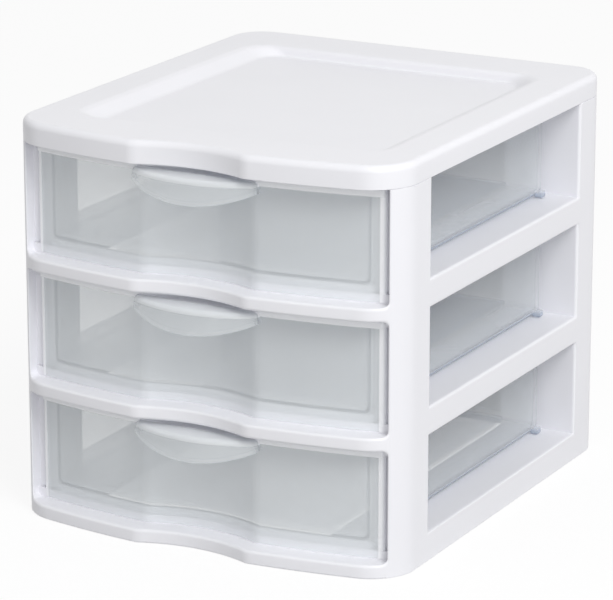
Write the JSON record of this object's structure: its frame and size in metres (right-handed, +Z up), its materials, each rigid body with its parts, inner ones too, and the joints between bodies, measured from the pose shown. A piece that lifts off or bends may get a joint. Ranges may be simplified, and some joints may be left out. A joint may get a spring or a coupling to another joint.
{
  "type": "stackable drawer box",
  "caption": "Desktop storage box: white moulded frame with open sides, wavy front lips and translucent pull-out drawers.",
  "frame": {"origin": "middle of the base, on the surface it stands on, half way between the back and the pulls' tips", "axes": "+Z up, the drawers open towards -Y, +X to the right seen from the front"},
  "size_m": [0.184, 0.22, 0.175],
  "materials": {
    "white_plastic": "satin moulded polypropylene",
    "clear_plastic": "glossy translucent moulded plastic"
  },
  "bodies": {
    "frame": {"top_cover": "white_plastic", "left_side_frame": "white_plastic", "right_side_frame": "white_plastic", "back_panel": "white_plastic", "upper_shelf": "white_plastic", "lower_shelf": "white_plastic", "base_shelf": "white_plastic"},
    "top_drawer": {"top_drawer": "clear_plastic"},
    "middle_drawer": {"middle_drawer": "clear_plastic"},
    "bottom_drawer": {"bottom_drawer": "clear_plastic"}
  },
  "joints": [
    {"name": "top_drawer_slide", "type": "slide", "parent": "frame", "child": "top_drawer", "axis": [0, -1, 0], "range_m": [0, 0.136]},
    {"name": "middle_drawer_slide", "type": "slide", "parent": "frame", "child": "middle_drawer", "axis": [0, -1, 0], "range_m": [0, 0.136]},
    {"name": "bottom_drawer_slide", "type": "slide", "parent": "frame", "child": "bottom_drawer", "axis": [0, -1, 0], "range_m": [0, 0.136]}
  ]
}
